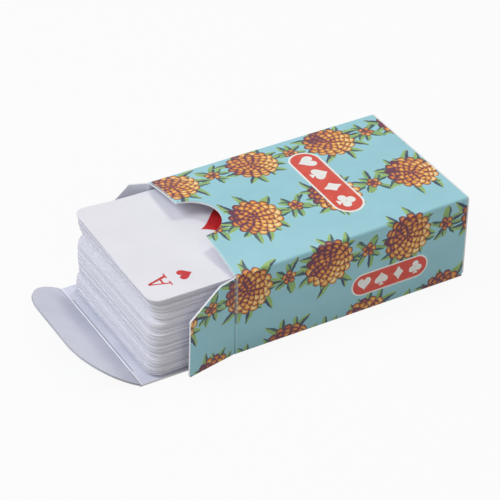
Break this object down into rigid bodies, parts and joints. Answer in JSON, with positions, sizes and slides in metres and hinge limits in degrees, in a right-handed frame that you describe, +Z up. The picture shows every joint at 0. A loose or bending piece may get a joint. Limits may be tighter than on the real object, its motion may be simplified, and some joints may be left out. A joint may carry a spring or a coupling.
{
  "type": "card game",
  "caption": "Mini playing-card pack: an opened tuck box with thumb notch, lid, tuck tongue and dust flaps, and a deck of loose cards that slides out over the lid.",
  "frame": {"origin": "middle of the back panel's underside, on which the box lies", "axes": "+Z up through the front panel, -Y out of the box's mouth, +X to the right seen from the mouth"},
  "size_m": [0.0484, 0.0943, 0.0241],
  "materials": {
    "printed_board": "coated board, printed outside, bare white inside",
    "card_stock": "smooth coated card"
  },
  "bodies": {
    "sleeve": {"sleeve": "printed_board", "base_flaps": "printed_board"},
    "lid": {"lid_panel": "printed_board"},
    "tongue": {"tuck_tongue": "printed_board"},
    "right_flap": {"dust_flap_right": "printed_board"},
    "left_flap": {"dust_flap_left": "printed_board"},
    "ace_of_hearts": {"ace_of_hearts": "card_stock"},
    "two_of_hearts": {"two_of_hearts": "card_stock"},
    "three_of_hearts": {"three_of_hearts": "card_stock"},
    "four_of_hearts": {"four_of_hearts": "card_stock"},
    "five_of_hearts": {"five_of_hearts": "card_stock"},
    "six_of_hearts": {"six_of_hearts": "card_stock"},
    "seven_of_hearts": {"seven_of_hearts": "card_stock"},
    "eight_of_hearts": {"eight_of_hearts": "card_stock"},
    "nine_of_hearts": {"nine_of_hearts": "card_stock"},
    "ten_of_hearts": {"ten_of_hearts": "card_stock"},
    "jack_of_hearts": {"jack_of_hearts": "card_stock"},
    "queen_of_hearts": {"queen_of_hearts": "card_stock"},
    "king_of_hearts": {"king_of_hearts": "card_stock"},
    "ace_of_clubs": {"ace_of_clubs": "card_stock"},
    "two_of_clubs": {"two_of_clubs": "card_stock"},
    "three_of_clubs": {"three_of_clubs": "card_stock"},
    "four_of_clubs": {"four_of_clubs": "card_stock"},
    "five_of_clubs": {"five_of_clubs": "card_stock"},
    "six_of_clubs": {"six_of_clubs": "card_stock"},
    "seven_of_clubs": {"seven_of_clubs": "card_stock"},
    "eight_of_clubs": {"eight_of_clubs": "card_stock"},
    "nine_of_clubs": {"nine_of_clubs": "card_stock"},
    "ten_of_clubs": {"ten_of_clubs": "card_stock"},
    "jack_of_clubs": {"jack_of_clubs": "card_stock"},
    "queen_of_clubs": {"queen_of_clubs": "card_stock"},
    "king_of_clubs": {"king_of_clubs": "card_stock"},
    "ace_of_diamonds": {"ace_of_diamonds": "card_stock"},
    "two_of_diamonds": {"two_of_diamonds": "card_stock"},
    "three_of_diamonds": {"three_of_diamonds": "card_stock"},
    "four_of_diamonds": {"four_of_diamonds": "card_stock"},
    "five_of_diamonds": {"five_of_diamonds": "card_stock"},
    "six_of_diamonds": {"six_of_diamonds": "card_stock"},
    "seven_of_diamonds": {"seven_of_diamonds": "card_stock"},
    "eight_of_diamonds": {"eight_of_diamonds": "card_stock"},
    "nine_of_diamonds": {"nine_of_diamonds": "card_stock"},
    "ten_of_diamonds": {"ten_of_diamonds": "card_stock"},
    "jack_of_diamonds": {"jack_of_diamonds": "card_stock"},
    "queen_of_diamonds": {"queen_of_diamonds": "card_stock"},
    "king_of_diamonds": {"king_of_diamonds": "card_stock"},
    "ace_of_spades": {"ace_of_spades": "card_stock"},
    "two_of_spades": {"two_of_spades": "card_stock"},
    "three_of_spades": {"three_of_spades": "card_stock"},
    "four_of_spades": {"four_of_spades": "card_stock"},
    "five_of_spades": {"five_of_spades": "card_stock"},
    "six_of_spades": {"six_of_spades": "card_stock"},
    "seven_of_spades": {"seven_of_spades": "card_stock"},
    "eight_of_spades": {"eight_of_spades": "card_stock"},
    "nine_of_spades": {"nine_of_spades": "card_stock"},
    "ten_of_spades": {"ten_of_spades": "card_stock"},
    "jack_of_spades": {"jack_of_spades": "card_stock"},
    "queen_of_spades": {"queen_of_spades": "card_stock"},
    "king_of_spades": {"king_of_spades": "card_stock"},
    "black_joker": {"black_joker": "card_stock"},
    "red_joker": {"red_joker": "card_stock"}
  },
  "joints": [
    {"name": "crease_lid", "type": "hinge", "parent": "sleeve", "child": "lid", "pos_m": [0, -0.03, 0], "axis": [1, 0, 0], "range_deg": [0, 170]},
    {"name": "crease_tongue", "type": "hinge", "parent": "lid", "child": "tongue", "pos_m": [0, -0.0526, 0.00045], "axis": [-1, 0, 0], "range_deg": [-31, 59]},
    {"name": "crease_dust_flap_right", "type": "hinge", "parent": "sleeve", "child": "right_flap", "pos_m": [0.02008, -0.03, 0], "axis": [0, 0, 1], "range_deg": [-14.5, 150.5]},
    {"name": "crease_dust_flap_left", "type": "hinge", "parent": "sleeve", "child": "left_flap", "pos_m": [-0.02008, -0.03, 0], "axis": [0, 0, -1], "range_deg": [-21, 144]},
    {"name": "slide_ace_of_hearts", "type": "slide", "parent": "sleeve", "child": "ace_of_hearts", "axis": [0, -1, 0], "range_m": [-0.02092, 0.03958]},
    {"name": "slide_two_of_hearts", "type": "slide", "parent": "sleeve", "child": "two_of_hearts", "axis": [0, -1, 0], "range_m": [-0.02052, 0.03998]},
    {"name": "slide_three_of_hearts", "type": "slide", "parent": "sleeve", "child": "three_of_hearts", "axis": [0, -1, 0], "range_m": [-0.02056, 0.03994]},
    {"name": "slide_four_of_hearts", "type": "slide", "parent": "sleeve", "child": "four_of_hearts", "axis": [0, -1, 0], "range_m": [-0.02056, 0.03994]},
    {"name": "slide_five_of_hearts", "type": "slide", "parent": "sleeve", "child": "five_of_hearts", "axis": [0, -1, 0], "range_m": [-0.02026, 0.04024]},
    {"name": "slide_six_of_hearts", "type": "slide", "parent": "sleeve", "child": "six_of_hearts", "axis": [0, -1, 0], "range_m": [-0.02045, 0.04005]},
    {"name": "slide_seven_of_hearts", "type": "slide", "parent": "sleeve", "child": "seven_of_hearts", "axis": [0, -1, 0], "range_m": [-0.02022, 0.04028]},
    {"name": "slide_eight_of_hearts", "type": "slide", "parent": "sleeve", "child": "eight_of_hearts", "axis": [0, -1, 0], "range_m": [-0.02013, 0.04037]},
    {"name": "slide_nine_of_hearts", "type": "slide", "parent": "sleeve", "child": "nine_of_hearts", "axis": [0, -1, 0], "range_m": [-0.02025, 0.04025]},
    {"name": "slide_ten_of_hearts", "type": "slide", "parent": "sleeve", "child": "ten_of_hearts", "axis": [0, -1, 0], "range_m": [-0.01991, 0.04059]},
    {"name": "slide_jack_of_hearts", "type": "slide", "parent": "sleeve", "child": "jack_of_hearts", "axis": [0, -1, 0], "range_m": [-0.02004, 0.04046]},
    {"name": "slide_queen_of_hearts", "type": "slide", "parent": "sleeve", "child": "queen_of_hearts", "axis": [0, -1, 0], "range_m": [-0.01994, 0.04056]},
    {"name": "slide_king_of_hearts", "type": "slide", "parent": "sleeve", "child": "king_of_hearts", "axis": [0, -1, 0], "range_m": [-0.01971, 0.04079]},
    {"name": "slide_ace_of_clubs", "type": "slide", "parent": "sleeve", "child": "ace_of_clubs", "axis": [0, -1, 0], "range_m": [-0.0199, 0.0406]},
    {"name": "slide_two_of_clubs", "type": "slide", "parent": "sleeve", "child": "two_of_clubs", "axis": [0, -1, 0], "range_m": [-0.0196, 0.0409]},
    {"name": "slide_three_of_clubs", "type": "slide", "parent": "sleeve", "child": "three_of_clubs", "axis": [0, -1, 0], "range_m": [-0.0196, 0.0409]},
    {"name": "slide_four_of_clubs", "type": "slide", "parent": "sleeve", "child": "four_of_clubs", "axis": [0, -1, 0], "range_m": [-0.01965, 0.04085]},
    {"name": "slide_five_of_clubs", "type": "slide", "parent": "sleeve", "child": "five_of_clubs", "axis": [0, -1, 0], "range_m": [-0.02066, 0.03984]},
    {"name": "slide_six_of_clubs", "type": "slide", "parent": "sleeve", "child": "six_of_clubs", "axis": [0, -1, 0], "range_m": [-0.02093, 0.03957]},
    {"name": "slide_seven_of_clubs", "type": "slide", "parent": "sleeve", "child": "seven_of_clubs", "axis": [0, -1, 0], "range_m": [-0.0209, 0.0396]},
    {"name": "slide_eight_of_clubs", "type": "slide", "parent": "sleeve", "child": "eight_of_clubs", "axis": [0, -1, 0], "range_m": [-0.02088, 0.03962]},
    {"name": "slide_nine_of_clubs", "type": "slide", "parent": "sleeve", "child": "nine_of_clubs", "axis": [0, -1, 0], "range_m": [-0.02111, 0.03939]},
    {"name": "slide_ten_of_clubs", "type": "slide", "parent": "sleeve", "child": "ten_of_clubs", "axis": [0, -1, 0], "range_m": [-0.02095, 0.03955]},
    {"name": "slide_jack_of_clubs", "type": "slide", "parent": "sleeve", "child": "jack_of_clubs", "axis": [0, -1, 0], "range_m": [-0.02115, 0.03935]},
    {"name": "slide_queen_of_clubs", "type": "slide", "parent": "sleeve", "child": "queen_of_clubs", "axis": [0, -1, 0], "range_m": [-0.02123, 0.03927]},
    {"name": "slide_king_of_clubs", "type": "slide", "parent": "sleeve", "child": "king_of_clubs", "axis": [0, -1, 0], "range_m": [-0.0211, 0.0394]},
    {"name": "slide_ace_of_diamonds", "type": "slide", "parent": "sleeve", "child": "ace_of_diamonds", "axis": [0, -1, 0], "range_m": [-0.02138, 0.03912]},
    {"name": "slide_two_of_diamonds", "type": "slide", "parent": "sleeve", "child": "two_of_diamonds", "axis": [0, -1, 0], "range_m": [-0.02129, 0.03921]},
    {"name": "slide_three_of_diamonds", "type": "slide", "parent": "sleeve", "child": "three_of_diamonds", "axis": [0, -1, 0], "range_m": [-0.02136, 0.03914]},
    {"name": "slide_four_of_diamonds", "type": "slide", "parent": "sleeve", "child": "four_of_diamonds", "axis": [0, -1, 0], "range_m": [-0.02138, 0.03912]},
    {"name": "slide_five_of_diamonds", "type": "slide", "parent": "sleeve", "child": "five_of_diamonds", "axis": [0, -1, 0], "range_m": [-0.02114, 0.03936]},
    {"name": "slide_six_of_diamonds", "type": "slide", "parent": "sleeve", "child": "six_of_diamonds", "axis": [0, -1, 0], "range_m": [-0.02131, 0.03919]},
    {"name": "slide_seven_of_diamonds", "type": "slide", "parent": "sleeve", "child": "seven_of_diamonds", "axis": [0, -1, 0], "range_m": [-0.02124, 0.03926]},
    {"name": "slide_eight_of_diamonds", "type": "slide", "parent": "sleeve", "child": "eight_of_diamonds", "axis": [0, -1, 0], "range_m": [-0.0211, 0.0394]},
    {"name": "slide_nine_of_diamonds", "type": "slide", "parent": "sleeve", "child": "nine_of_diamonds", "axis": [0, -1, 0], "range_m": [-0.02128, 0.03922]},
    {"name": "slide_ten_of_diamonds", "type": "slide", "parent": "sleeve", "child": "ten_of_diamonds", "axis": [0, -1, 0], "range_m": [-0.02106, 0.01444]},
    {"name": "slide_jack_of_diamonds", "type": "slide", "parent": "sleeve", "child": "jack_of_diamonds", "axis": [0, -1, 0], "range_m": [-0.02114, 0.01381]},
    {"name": "slide_queen_of_diamonds", "type": "slide", "parent": "sleeve", "child": "queen_of_diamonds", "axis": [0, -1, 0], "range_m": [-0.02118, 0.01316]},
    {"name": "slide_king_of_diamonds", "type": "slide", "parent": "sleeve", "child": "king_of_diamonds", "axis": [0, -1, 0], "range_m": [-0.02095, 0.01279]},
    {"name": "slide_ace_of_spades", "type": "slide", "parent": "sleeve", "child": "ace_of_spades", "axis": [0, -1, 0], "range_m": [-0.02115, 0.01202]},
    {"name": "slide_two_of_spades", "type": "slide", "parent": "sleeve", "child": "two_of_spades", "axis": [0, -1, 0], "range_m": [-0.02102, 0.0116]},
    {"name": "slide_three_of_spades", "type": "slide", "parent": "sleeve", "child": "three_of_spades", "axis": [0, -1, 0], "range_m": [-0.02095, 0.01106]},
    {"name": "slide_four_of_spades", "type": "slide", "parent": "sleeve", "child": "four_of_spades", "axis": [0, -1, 0], "range_m": [-0.02109, 0.01032]},
    {"name": "slide_five_of_spades", "type": "slide", "parent": "sleeve", "child": "five_of_spades", "axis": [0, -1, 0], "range_m": [-0.02137, 0.00926]},
    {"name": "slide_six_of_spades", "type": "slide", "parent": "sleeve", "child": "six_of_spades", "axis": [0, -1, 0], "range_m": [-0.02154, 0.00846]},
    {"name": "slide_seven_of_spades", "type": "slide", "parent": "sleeve", "child": "seven_of_spades", "axis": [0, -1, 0], "range_m": [-0.02157, 0.00784]},
    {"name": "slide_eight_of_spades", "type": "slide", "parent": "sleeve", "child": "eight_of_spades", "axis": [0, -1, 0], "range_m": [-0.02149, 0.00739]},
    {"name": "slide_nine_of_spades", "type": "slide", "parent": "sleeve", "child": "nine_of_spades", "axis": [0, -1, 0], "range_m": [-0.02171, 0.00651]},
    {"name": "slide_ten_of_spades", "type": "slide", "parent": "sleeve", "child": "ten_of_spades", "axis": [0, -1, 0], "range_m": [-0.02161, 0.0061]},
    {"name": "slide_jack_of_spades", "type": "slide", "parent": "sleeve", "child": "jack_of_spades", "axis": [0, -1, 0], "range_m": [-0.02168, 0.00542]},
    {"name": "slide_queen_of_spades", "type": "slide", "parent": "sleeve", "child": "queen_of_spades", "axis": [0, -1, 0], "range_m": [-0.02182, 0.00466]},
    {"name": "slide_king_of_spades", "type": "slide", "parent": "sleeve", "child": "king_of_spades", "axis": [0, -1, 0], "range_m": [-0.02168, 0.0043]},
    {"name": "slide_black_joker", "type": "slide", "parent": "sleeve", "child": "black_joker", "axis": [0, -1, 0], "range_m": [-0.02189, 0.00344]},
    {"name": "slide_red_joker", "type": "slide", "parent": "sleeve", "child": "red_joker", "axis": [0, -1, 0], "range_m": [-0.02186, 0.00291]}
  ]
}
